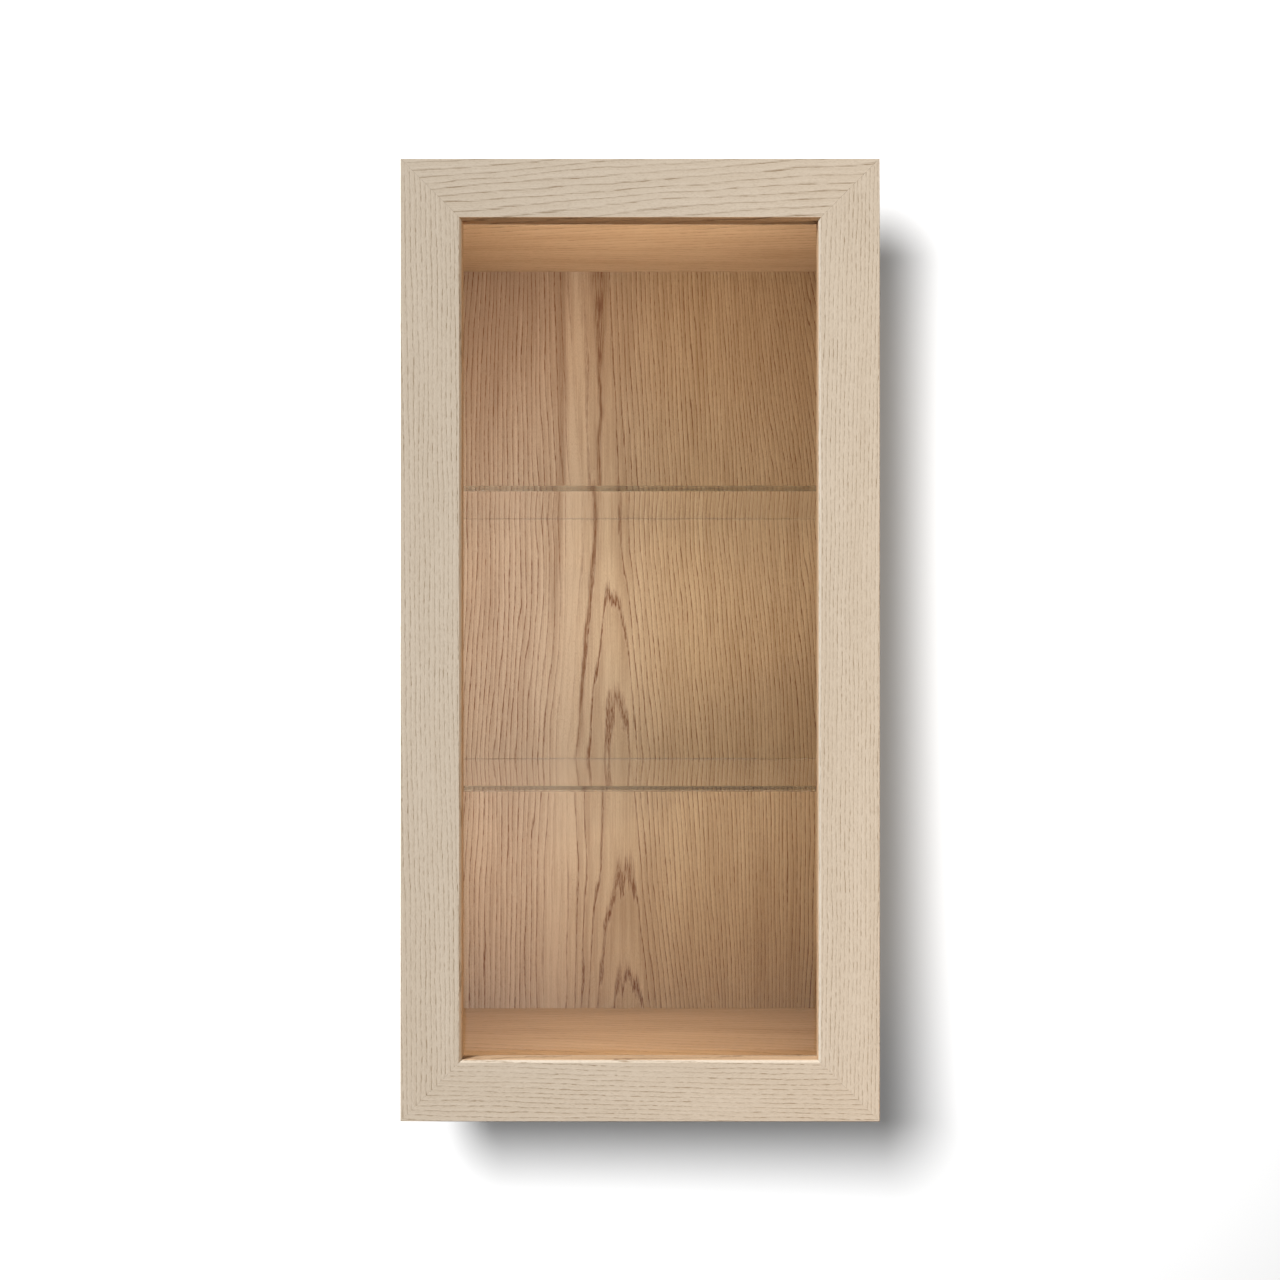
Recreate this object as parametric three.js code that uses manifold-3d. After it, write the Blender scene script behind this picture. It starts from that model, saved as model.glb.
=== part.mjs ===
// Wall-mounted glazed showcase. A mitred oak carcass hangs from a bevelled cleat, and a
// glazed door in a wide mitred frame covers its whole front. Two glass shelves lie on pins.
// Two concealed hinges carry the door on its left edge, and a push latch holds its right edge.
//
// Millimetres. +X is to the right of a person who faces the door, +Y goes into the wall and
// +Z is up. The origin is the middle of the wall cleat's rear face, so the wall is y = 0.
// Inside the file, heights are measured from the underside of the cabinet.

import * as THREE from "three";
import { mergeVertices } from "three/addons/utils/BufferGeometryUtils.js";
import Module from "manifold-3d";

// Overall size
const WIDTH = 500;
const HEIGHT = 1004;
const DEPTH = 360;

// Door frame: bars with a lip in front of the glass and a rebate behind it
const DOOR_THICKNESS = 22;
const DOOR_GAP = 2.5;
const BAR_WIDTH = 64;
const LIP_DEPTH = 14.5;
const LIP_CHAMFER = 2.5;
const REBATE_WIDTH = 8;
const BACK_CHAMFER = 2.5;
const EASED = 0.5;

// Door glass and the beads that hold it in the rebate
const PANE_THICKNESS = 4;
const PANE_CLEARANCE = 1;
const BEAD_WIDTH = 6.25;
const BEAD_CLEARANCE = 0.25;
const BEAD_CHAMFER = 1.5;

// Loose tongues in the mitres of the door frame
const DOOR_KEY = { across: 30, along: 40, thickness: 4, inset: 30, depth: 9 };

// Carcass boards and the back panel in its grooves
const BOARD = 18;
const BACK_FACE_DEPTH = 340;
const BACK_THICKNESS = 8;
const GROOVE_DEPTH = 6;
const GROOVE_CLEARANCE = 0.25;
const BACK_EDGE_CLEARANCE = 1;

// Loose tongues in the mitres of the carcass
const CARCASS_KEY = { across: 12, thickness: 4, fromInnerCorner: 12.5, frontEnd: 40, backEnd: 310 };

// Shelves and the pins that carry them
const SHELF_THICKNESS = 6;
const SHELF_EDGE = 0.5;
const SHELF_FRONT_DEPTH = 30;
const SHELF_BACK_CLEARANCE = 2;
const SHELF_SIDE_CLEARANCE = 1;
const LOWEST_SHELF_UNDERSIDE = 340.5;
const SHELF_PITCH = 320;
const PIN_FRONT_SETBACK = 37;
const PIN_ROW_PITCH = 192;
const PIN = { radius: 2.5, length: 8.5, collarRadius: 4, collar: 1, tongue: 9, width: 10, height: 2.5 };

// Concealed hinges, measured from the hinge pin's axis where no other place is named
const PIN_AXIS_INSET = 8.5;
const PIN_AXIS_DEPTH = 13;
const HINGE_END_DISTANCE = 100;
const CUP = { inset: 21.5, radius: 17.5, wall: 1, floor: 0.75, boreDepth: 13, floorGap: 0.25 };
const CUP_PLATE = { thickness: 1, left: 6, right: 16, reach: 28, corner: 5, cornerSteps: 4 };
const CUP_SCREW = { offset: 9.5, spread: 22.5 };
const CUP_BOSS = { half: 2.9, inner: 5.25, outer: 9.9, rise: 3 };
const HINGE_PIN = { radius: 1.5, halfLength: 9.25, boreHalfLength: 9.5 };
const EYE_RADIUS = 2.5;
const NECK = { width: 9, thickness: 3, reach: 16, body: 16, corner: 1 };
const ARM = { width: 12, thickness: 9, length: 46, slope: 6, nose: 4, tailChamfer: 2 };
const HINGE_PLATE = {
  thickness: 3.5,
  width: 12,
  start: 24,
  length: 40,
  wing: 44,
  wingWidth: 14,
  corner: 3,
};
const PLATE_SCREW = { setback: 37, spread: 16 };
const ARM_SCREW = { radius: 3, ring: 0.5, depth: 1.5, slotWidth: 1, slotDepth: 1, places: [24, 48] };

// Wood screws of the fittings
const SCREW = { head: 3, headHeight: 1.5, shank: 1.5, length: 11, tip: 2, slotWidth: 1 };

// Push latch on the right side panel, half way up, and its strike plate on the door
const LATCH_HEIGHT = 502;
const LATCH = {
  width: 15,
  height: 14,
  chamfer: 2,
  front: 26,
  length: 70,
  axisFromPanel: 7.5,
  bore: 4.25,
  boreLength: 64,
};
const LATCH_BASE = { thickness: 2.5, height: 27, inset: 2 };
const LATCH_SCREW_SPREAD = 10.25;
const PLUNGER = { radius: 4, length: 36, tipDepth: 23.25, tipChamfer: 0.75 };
const SPRING = { radius: 3, wire: 0.45, turns: 9, gap: 0.5, stepsPerTurn: 12, wireSides: 3 };
const STRIKE = { radius: 7, thickness: 1, chamfer: 0.25 };

// Rubber buffers between the door and the carcass
const BUFFER = { radius: 4, thickness: 2.25, inset: 10, endDistance: 40, crown: 0.75 };

// Hanging cleats with mating 45 degree bevels
const CLEAT_HEIGHT = 60;
const WALL_CLEAT = { thickness: 11.5, length: 440, screwPlaces: [-180, -60, 60, 180] };
const CABINET_CLEAT_WALL_GAP = 0.5;
const CLEAT_HOLE = { radius: 2.75, headRadius: 5.25, headDepth: 2.5 };

// Fits and facets
const GLUE_LINE = 0.05;
const FIT = 0.3;
const BORE_FIT = 0.1;
const MERGE = 1e-4;
const ROUND = 24;
const SMALL_ROUND = 12;
const CUP_ROUND = 40;
const OVERCUT = 1;

// Planes and places that follow from the sizes above
const behindFront = (depth) => depth - DEPTH;
const DOOR_BACK = behindFront(DOOR_THICKNESS);
const CARCASS_FRONT = behindFront(DOOR_THICKNESS + DOOR_GAP);
const PANE_FRONT = behindFront(LIP_DEPTH);
const PANE_BACK = PANE_FRONT + PANE_THICKNESS;
const BACK_FACE = behindFront(BACK_FACE_DEPTH);
const BACK_REAR = BACK_FACE + BACK_THICKNESS;
const INNER_SIDE = WIDTH / 2 - BOARD;
const INNER_TOP = HEIGHT - BOARD;
const PIN_AXIS = new THREE.Vector2(-WIDTH / 2 + PIN_AXIS_INSET, behindFront(PIN_AXIS_DEPTH));
const CLEAT_BEVEL_AT_WALL = INNER_TOP - CLEAT_HEIGHT - CABINET_CLEAT_WALL_GAP;
const ORIGIN_HEIGHT = CLEAT_BEVEL_AT_WALL - CLEAT_HEIGHT / 2;
const SHELF_UNDERSIDES = [LOWEST_SHELF_UNDERSIDE, LOWEST_SHELF_UNDERSIDE + SHELF_PITCH];
const PIN_ROWS = [CARCASS_FRONT + PIN_FRONT_SETBACK, CARCASS_FRONT + PIN_FRONT_SETBACK + PIN_ROW_PITCH];
const HINGE_HEIGHTS = { upper: HEIGHT - HINGE_END_DISTANCE, lower: HINGE_END_DISTANCE };

// Materials
const paint = (color, roughness, metalness = 0) =>
  new THREE.MeshStandardMaterial({ color, roughness, metalness });
const PALE_OAK = paint("#cdbfab", 0.6);
const OAK = paint("#b4906e", 0.6);
const PLYWOOD = paint("#c9ab80", 0.7);
const STEEL = paint("#b9bcc0", 0.35, 1);
const ZINC = paint("#d3d5d8", 0.3, 1);
const SPRING_STEEL = paint("#8d9196", 0.4, 1);
const BLACK_PLASTIC = paint("#2b2b2d", 0.5);
const RUBBER = paint("#d8d8d4", 0.7);
const GLASS = new THREE.MeshStandardMaterial({
  color: "#dfeae6",
  roughness: 0.05,
  transparent: true,
  opacity: 0.3,
});

// --- Geometry helpers -------------------------------------------------------------------

const wasm = await Module();
wasm.setup();

// A closed geometry as a solid that can be joined and cut
function solidOf(geometry) {
  const bare = geometry.index ? geometry.toNonIndexed() : geometry.clone();
  bare.deleteAttribute("normal");
  bare.deleteAttribute("uv");
  const merged = mergeVertices(bare, MERGE);
  const mesh = new wasm.Mesh({
    numProp: 3,
    vertProperties: merged.getAttribute("position").array,
    triVerts: new Uint32Array(merged.index.array),
  });
  return new wasm.Manifold(mesh);
}

function geometryOf(solid) {
  const { vertProperties, triVerts } = solid.getMesh();
  const geometry = new THREE.BufferGeometry();
  geometry.setAttribute("position", new THREE.BufferAttribute(vertProperties, 3));
  geometry.setIndex(new THREE.BufferAttribute(triVerts, 1));
  geometry.computeVertexNormals();
  return geometry;
}

function cut(geometry, tools) {
  let solid = solidOf(geometry);
  for (const tool of tools) {
    solid = solid.subtract(solidOf(tool));
  }
  return geometryOf(solid);
}

function join(geometries) {
  let solid = solidOf(geometries[0]);
  for (const geometry of geometries.slice(1)) {
    solid = solid.add(solidOf(geometry));
  }
  return geometryOf(solid);
}

function overlapOf(first, second) {
  return geometryOf(solidOf(first).intersect(solidOf(second)));
}

function block([x0, x1], [y0, y1], [z0, z1]) {
  const geometry = new THREE.BoxGeometry(x1 - x0, y1 - y0, z1 - z0);
  return geometry.translate((x0 + x1) / 2, (y0 + y1) / 2, (z0 + z1) / 2);
}

// A prism of a closed outline. Its outline lies in the plane of the first two axes named, and
// it runs along the third, from start to end.
function prism(outline, plane, start, end) {
  const shape = new THREE.Shape(outline.map(([u, v]) => new THREE.Vector2(u, v)));
  const geometry = new THREE.ExtrudeGeometry(shape, { depth: end - start, bevelEnabled: false });
  geometry.translate(0, 0, start);
  if (plane === "yz") {
    const turn = new THREE.Matrix4().set(0, 0, 1, 0, 1, 0, 0, 0, 0, 1, 0, 0, 0, 0, 0, 1);
    geometry.applyMatrix4(turn);
  }
  return geometry;
}

// A solid of revolution about the Y axis. The profile's points are [radius, y].
function turned(profile, segments) {
  return new THREE.LatheGeometry(
    profile.map(([radius, y]) => new THREE.Vector2(radius, y)),
    segments,
  );
}

const rodY = (radius, y0, y1, segments) =>
  turned([[0, y0], [radius, y0], [radius, y1], [0, y1]], segments);
const rodZ = (radius, z0, z1, segments) => rodY(radius, z0, z1, segments).rotateX(Math.PI / 2);
const rodX = (radius, x0, x1, segments) => rodY(radius, x0, x1, segments).rotateZ(-Math.PI / 2);

function piece(name, geometry, material, place = [0, 0, 0], turn = [0, 0, 0]) {
  const mesh = new THREE.Mesh(geometry, material);
  mesh.name = name;
  mesh.position.set(...place);
  mesh.rotation.set(...turn);
  return mesh;
}

function group(...children) {
  const made = new THREE.Group();
  children.forEach((child) => made.add(child));
  return made;
}

// --- Mitred frames ----------------------------------------------------------------------

// A bar of a mitred frame in its own axes: X inward from the frame's outer edge, Y as in the
// cabinet and Z along the bar. The profile's points are [inset, y]. Each end is a 45 degree
// mitre, made by moving the end's points inward by their inset and half the glue line.
function mitredBar(profile, length) {
  const geometry = prism(profile, "xy", 0, length);
  const position = geometry.getAttribute("position");
  for (let i = 0; i < position.count; i += 1) {
    const trim = position.getX(i) + GLUE_LINE / 2;
    const atStart = position.getZ(i) < length / 2;
    position.setZ(i, atStart ? trim : length - trim);
  }
  return geometry;
}

// Where each bar of a frame of the cabinet's full size goes. A left bar's Z is the height, a
// right bar's is the height from the top, and the others run sideways.
const BARS = {
  left: { length: HEIGHT, place: [-WIDTH / 2, 0, 0], turn: 0 },
  right: { length: HEIGHT, place: [WIDTH / 2, 0, HEIGHT], turn: Math.PI },
  bottom: { length: WIDTH, place: [WIDTH / 2, 0, 0], turn: -Math.PI / 2 },
  top: { length: WIDTH, place: [-WIDTH / 2, 0, HEIGHT], turn: Math.PI / 2 },
};

// The four bars of a frame. cutsOf(side, length) gives the tools that cut a bar.
function mitredFrame(names, profile, material, cutsOf) {
  return Object.entries(BARS).map(([side, bar]) => {
    const raw = mitredBar(profile, bar.length);
    const cuts = cutsOf ? cutsOf(side, bar.length) : [];
    const geometry = cuts.length ? cut(raw, cuts) : raw;
    return piece(names[side], geometry, material, bar.place, [0, bar.turn, 0]);
  });
}

// A tongue across the mitre at a bar's start: a plate that spans `across` at right angles to
// the mitre and `along` in it, `thickness` deep in Y
function doorKey(gap) {
  const { across, along, thickness, inset, depth } = DOOR_KEY;
  const key = new THREE.BoxGeometry(across + 2 * gap, thickness + 2 * gap, along + 2 * gap);
  key.rotateY(Math.PI / 4);
  return key.translate(inset, behindFront(depth), inset);
}

// A long tongue in the carcass mitre at a board's start
function carcassKey(gap) {
  const { across, thickness, fromInnerCorner, frontEnd, backEnd } = CARCASS_KEY;
  const length = backEnd - frontEnd + 2 * gap;
  const key = new THREE.BoxGeometry(across + 2 * gap, length, thickness + 2 * gap);
  key.rotateY(Math.PI / 4);
  const place = BOARD - fromInnerCorner / Math.SQRT2;
  return key.translate(place, behindFront((frontEnd + backEnd) / 2), place);
}

// The slots for the tongues at both ends of a bar
function keySlots(keyOf, length) {
  const start = keyOf(FIT);
  const end = keyOf(FIT).rotateX(Math.PI);
  end.computeBoundingBox();
  start.computeBoundingBox();
  const lift = start.boundingBox.min.y - end.boundingBox.min.y;
  end.translate(0, lift, length);
  return [start, end];
}

// The four tongues of a frame, each at its bar's start
function frameKeys(prefix, keyOf) {
  const corners = { left: "bottom_left", bottom: "bottom_right", right: "top_right", top: "top_left" };
  return Object.entries(BARS).map(([side, bar]) =>
    piece(`${prefix}_${corners[side]}`, keyOf(0), PLYWOOD, bar.place, [0, bar.turn, 0]),
  );
}

// --- Carcass ----------------------------------------------------------------------------

const BOARD_PROFILE = [
  [EASED, CARCASS_FRONT],
  [BOARD, CARCASS_FRONT],
  [BOARD, BACK_FACE - GROOVE_CLEARANCE],
  [BOARD - GROOVE_DEPTH, BACK_FACE - GROOVE_CLEARANCE],
  [BOARD - GROOVE_DEPTH, BACK_REAR + GROOVE_CLEARANCE],
  [BOARD, BACK_REAR + GROOVE_CLEARANCE],
  [BOARD, 0],
  [0, 0],
  [0, CARCASS_FRONT + EASED],
];

// A blind hole in a side panel's inner face, in the panel's own axes
function panelHole(radius, depth, y, along) {
  return rodX(radius, BOARD - depth, BOARD + OVERCUT, SMALL_ROUND).translate(0, y, along);
}

function pinHoles(heightToAlong) {
  const depth = PIN.length + FIT;
  return SHELF_UNDERSIDES.flatMap((underside) =>
    PIN_ROWS.map((y) =>
      panelHole(PIN.radius + FIT, depth, y, heightToAlong(underside - PIN.height / 2)),
    ),
  );
}

const screwHole = (y, along) => panelHole(SCREW.shank + FIT, SCREW.length, y, along);

function hingePlateHoles() {
  const y = CARCASS_FRONT + PLATE_SCREW.setback;
  return Object.values(HINGE_HEIGHTS).flatMap((height) => [
    screwHole(y, height - PLATE_SCREW.spread),
    screwHole(y, height + PLATE_SCREW.spread),
  ]);
}

const LATCH_MIDDLE = behindFront(LATCH.front + LATCH.length / 2);

function latchHoles() {
  const along = HEIGHT - LATCH_HEIGHT;
  return [-LATCH_SCREW_SPREAD, LATCH_SCREW_SPREAD].map((spread) =>
    screwHole(LATCH_MIDDLE, along + spread),
  );
}

function boardCuts(side, length) {
  const slots = keySlots(carcassKey, length);
  if (side === "left") {
    return [...slots, ...pinHoles((height) => height), ...hingePlateHoles()];
  }
  if (side === "right") {
    return [...slots, ...pinHoles((height) => HEIGHT - height), ...latchHoles()];
  }
  return slots;
}

function backPanel() {
  const reach = GROOVE_DEPTH - BACK_EDGE_CLEARANCE;
  const side = INNER_SIDE + reach;
  return block([-side, side], [BACK_FACE, BACK_REAR], [BOARD - reach, INNER_TOP + reach]);
}

function carcass() {
  const names = {
    left: "side_panel_left",
    right: "side_panel_right",
    bottom: "bottom_panel",
    top: "top_panel",
  };
  return group(
    ...mitredFrame(names, BOARD_PROFILE, OAK, boardCuts),
    ...frameKeys("carcass_key", carcassKey),
    piece("back_panel", backPanel(), OAK),
  );
}

// --- Hanging cleats ---------------------------------------------------------------------

// The cleat on the cabinet, glued under the top panel behind the back panel. Its bottom
// bevel hooks over the wall cleat.
function cabinetCleat() {
  const rear = -CABINET_CLEAT_WALL_GAP;
  const outline = [
    [BACK_REAR, CLEAT_BEVEL_AT_WALL - BACK_REAR],
    [rear, CLEAT_BEVEL_AT_WALL - rear],
    [rear, INNER_TOP],
    [BACK_REAR, INNER_TOP],
  ];
  return prism(outline, "yz", -INNER_SIDE, INNER_SIDE);
}

function wallCleat() {
  const { thickness, length, screwPlaces } = WALL_CLEAT;
  const low = CLEAT_BEVEL_AT_WALL - CLEAT_HEIGHT;
  const outline = [
    [-thickness, low],
    [0, low],
    [0, CLEAT_BEVEL_AT_WALL],
    [-thickness, CLEAT_BEVEL_AT_WALL + thickness],
  ];
  const { radius, headRadius, headDepth } = CLEAT_HOLE;
  const hole = turned(
    [
      [0, -thickness - OVERCUT],
      [headRadius + OVERCUT, -thickness - OVERCUT],
      [radius, -thickness + headDepth],
      [radius, OVERCUT],
      [0, OVERCUT],
    ],
    ROUND,
  );
  const middle = low + CLEAT_HEIGHT / 2;
  const holes = screwPlaces.map((x) => hole.clone().translate(x, 0, middle));
  return cut(prism(outline, "yz", -length / 2, length / 2), holes);
}

function cleats() {
  return group(
    piece("cabinet_cleat", cabinetCleat(), OAK),
    piece("wall_cleat", wallCleat(), OAK),
  );
}

// --- Shelves ----------------------------------------------------------------------------

function shelf() {
  const front = behindFront(SHELF_FRONT_DEPTH);
  const rear = BACK_FACE - SHELF_BACK_CLEARANCE;
  const outline = [
    [front + SHELF_EDGE, 0],
    [rear - SHELF_EDGE, 0],
    [rear, SHELF_EDGE],
    [rear, SHELF_THICKNESS - SHELF_EDGE],
    [rear - SHELF_EDGE, SHELF_THICKNESS],
    [front + SHELF_EDGE, SHELF_THICKNESS],
    [front, SHELF_THICKNESS - SHELF_EDGE],
    [front, SHELF_EDGE],
  ];
  const side = INNER_SIDE - SHELF_SIDE_CLEARANCE;
  return prism(outline, "yz", -side, side);
}

// A shelf pin at the right side panel: a shank in the panel, a collar against it and a flat
// tongue whose top carries the shelf. X = 0 is the panel's face and Z = 0 the tongue's top.
function shelfPin() {
  const { radius, length, collarRadius, collar, tongue, width, height } = PIN;
  const middle = -height / 2;
  return join([
    rodX(radius, -collar, length, SMALL_ROUND).translate(0, 0, middle),
    overlapOf(
      rodX(collarRadius, -collar, 0, ROUND).translate(0, 0, middle),
      block([-collar, 0], [-collarRadius, collarRadius], [-2 * collarRadius, 0]),
    ),
    block([-tongue, -collar / 2], [-width / 2, width / 2], [-height, 0]),
  ]);
}

function shelves() {
  const made = group();
  const pin = shelfPin();
  ["lower", "upper"].forEach((level, i) => {
    const underside = SHELF_UNDERSIDES[i];
    made.add(piece(`glass_shelf_${level}`, shelf(), GLASS, [0, 0, underside]));
    ["front", "back"].forEach((row, j) => {
      const y = PIN_ROWS[j];
      const name = `shelf_pin_${level}_${row}`;
      made.add(piece(`${name}_right`, pin, STEEL, [INNER_SIDE, y, underside]));
      made.add(piece(`${name}_left`, pin, STEEL, [-INNER_SIDE, y, underside], [0, 0, Math.PI]));
    });
  });
  return made;
}

// --- Door frame, glass and beads --------------------------------------------------------

const DOOR_BAR_PROFILE = [
  [EASED, behindFront(0)],
  [BAR_WIDTH - LIP_CHAMFER, behindFront(0)],
  [BAR_WIDTH, behindFront(LIP_CHAMFER)],
  [BAR_WIDTH, PANE_FRONT],
  [BAR_WIDTH - REBATE_WIDTH, PANE_FRONT],
  [BAR_WIDTH - REBATE_WIDTH, DOOR_BACK],
  [BACK_CHAMFER, DOOR_BACK],
  [0, DOOR_BACK - BACK_CHAMFER],
  [0, behindFront(EASED)],
];

// The cup's bore and its screws' holes in the hinge stile, in the stile's own axes
function hingeBores() {
  return Object.values(HINGE_HEIGHTS).flatMap((height) => {
    const holeAt = (along) =>
      rodY(SCREW.shank + FIT, DOOR_BACK - SCREW.length, DOOR_BACK + OVERCUT, SMALL_ROUND).translate(
        CUP.inset + CUP_SCREW.offset,
        0,
        along,
      );
    const bore = rodY(CUP.radius + FIT, DOOR_BACK - CUP.boreDepth, DOOR_BACK + OVERCUT, CUP_ROUND);
    return [
      bore.translate(CUP.inset, 0, height),
      holeAt(height - CUP_SCREW.spread),
      holeAt(height + CUP_SCREW.spread),
    ];
  });
}

function doorBarCuts(side, length) {
  const slots = keySlots(doorKey, length);
  return side === "left" ? [...slots, ...hingeBores()] : slots;
}

const BEAD_OUTER = BAR_WIDTH - REBATE_WIDTH + BEAD_CLEARANCE;
const BEAD_INNER = BEAD_OUTER + BEAD_WIDTH;
const BEAD_PROFILE = [
  [BEAD_OUTER, PANE_BACK],
  [BEAD_INNER, PANE_BACK],
  [BEAD_INNER, DOOR_BACK - BEAD_CHAMFER],
  [BEAD_INNER - BEAD_CHAMFER, DOOR_BACK],
  [BEAD_OUTER, DOOR_BACK],
];

function pane() {
  const inset = BAR_WIDTH - REBATE_WIDTH + PANE_CLEARANCE;
  const side = WIDTH / 2 - inset;
  return block([-side, side], [PANE_FRONT, PANE_BACK], [inset, HEIGHT - inset]);
}

function doorFrame() {
  const barNames = {
    left: "door_stile_left",
    right: "door_stile_right",
    bottom: "door_rail_bottom",
    top: "door_rail_top",
  };
  const beadNames = {
    left: "glazing_bead_left",
    right: "glazing_bead_right",
    bottom: "glazing_bead_bottom",
    top: "glazing_bead_top",
  };
  return group(
    ...mitredFrame(barNames, DOOR_BAR_PROFILE, PALE_OAK, doorBarCuts),
    ...frameKeys("door_key", doorKey),
    ...mitredFrame(beadNames, BEAD_PROFILE, PALE_OAK),
    piece("door_glass", pane(), GLASS),
  );
}

// A soft button on the door's back, in front of the carcass's edge
function buffer() {
  const { radius, thickness, crown } = BUFFER;
  return turned(
    [
      [0, 0],
      [radius, 0],
      [radius, thickness - crown],
      [radius - crown, thickness],
      [0, thickness],
    ],
    ROUND,
  );
}

function buffers() {
  const x = WIDTH / 2 - BUFFER.inset;
  return group(
    piece("door_buffer_bottom", buffer(), RUBBER, [x, DOOR_BACK, BUFFER.endDistance]),
    piece("door_buffer_top", buffer(), RUBBER, [x, DOOR_BACK, HEIGHT - BUFFER.endDistance]),
  );
}

// --- Screws -----------------------------------------------------------------------------

// A pan-head wood screw that points along -Y, with the underside of its head at y = 0
function screw() {
  const { head, headHeight, shank, length, tip, slotWidth } = SCREW;
  const body = turned(
    [
      [0, -length + FIT],
      [shank, -length + FIT + tip],
      [shank, 0],
      [head, 0],
      [head, headHeight / 2],
      [head / 2, headHeight],
      [0, headHeight],
    ],
    SMALL_ROUND,
  );
  const slot = block(
    [-slotWidth / 2, slotWidth / 2],
    [headHeight / 2, headHeight + OVERCUT],
    [-head / 2, head / 2],
  );
  return cut(body, [slot]);
}

const SCREW_GEOMETRY = screw();
const OUT_OF_LEFT_PANEL = [0, 0, -Math.PI / 2];
const OUT_OF_RIGHT_PANEL = [0, 0, Math.PI / 2];

// --- Concealed hinges -------------------------------------------------------------------
// Each hinge is built about the middle of its pin, with the cabinet's axes.

const FLOOR_Y = DOOR_BACK - CUP.boreDepth + CUP.floorGap - PIN_AXIS.y;
const RIM_Y = DOOR_BACK - PIN_AXIS.y + CUP_PLATE.thickness;
const CUP_X = CUP.inset - PIN_AXIS_INSET;
const PANEL_X = BOARD - PIN_AXIS_INSET;
const PLATE_TOP_X = PANEL_X + HINGE_PLATE.thickness;
const PANEL_FRONT_Y = CARCASS_FRONT - PIN_AXIS.y;

function roundedRectangle(x0, x1, z0, z1, corner) {
  const shape = new THREE.Shape();
  shape.moveTo(x0 + corner, z0);
  shape.lineTo(x1 - corner, z0);
  shape.absarc(x1 - corner, z0 + corner, corner, -Math.PI / 2, 0);
  shape.lineTo(x1, z1 - corner);
  shape.absarc(x1 - corner, z1 - corner, corner, 0, Math.PI / 2);
  shape.lineTo(x0 + corner, z1);
  shape.absarc(x0 + corner, z1 - corner, corner, Math.PI / 2, Math.PI);
  shape.lineTo(x0, z0 + corner);
  shape.absarc(x0 + corner, z0 + corner, corner, Math.PI, 1.5 * Math.PI);
  return shape;
}

// The cup with its screw plate, and two bosses that hold the pin's ends
function cup() {
  const { radius, wall, floor } = CUP;
  const inside = radius - wall;
  const shell = turned(
    [
      [0, FLOOR_Y],
      [radius, FLOOR_Y],
      [radius, RIM_Y],
      [0, RIM_Y],
    ],
    CUP_ROUND,
  ).translate(CUP_X, 0, 0);
  const hollow = rodY(inside, FLOOR_Y + floor, RIM_Y + OVERCUT, CUP_ROUND).translate(CUP_X, 0, 0);

  const { thickness, left, right, reach, corner, cornerSteps } = CUP_PLATE;
  const outline = roundedRectangle(CUP_X - left, CUP_X + right, -reach, reach, corner);
  const plate = new THREE.ExtrudeGeometry(outline, {
    depth: thickness,
    bevelEnabled: false,
    curveSegments: cornerSteps,
  });
  plate.rotateX(Math.PI / 2).translate(0, RIM_Y, 0);

  const { half, inner, outer, rise } = CUP_BOSS;
  const bossAt = (z0, z1) =>
    overlapOf(
      block([-half, half], [FLOOR_Y + floor / 2, rise], [z0, z1]),
      rodY(radius - wall / 2, FLOOR_Y, RIM_Y, CUP_ROUND).translate(CUP_X, 0, 0),
    );
  const pinBore = rodZ(
    HINGE_PIN.radius + BORE_FIT,
    -HINGE_PIN.boreHalfLength,
    HINGE_PIN.boreHalfLength,
    ROUND,
  );
  const screwBores = [-CUP_SCREW.spread, CUP_SCREW.spread].map((z) => {
    const bore = rodY(SCREW.shank + FIT, FLOOR_Y, RIM_Y + OVERCUT, SMALL_ROUND);
    return bore.translate(CUP_X + CUP_SCREW.offset, 0, z);
  });
  const opened = cut(join([shell, plate]), [hollow, ...screwBores]);
  return cut(join([opened, bossAt(-outer, -inner), bossAt(inner, outer)]), [pinBore]);
}

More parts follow.
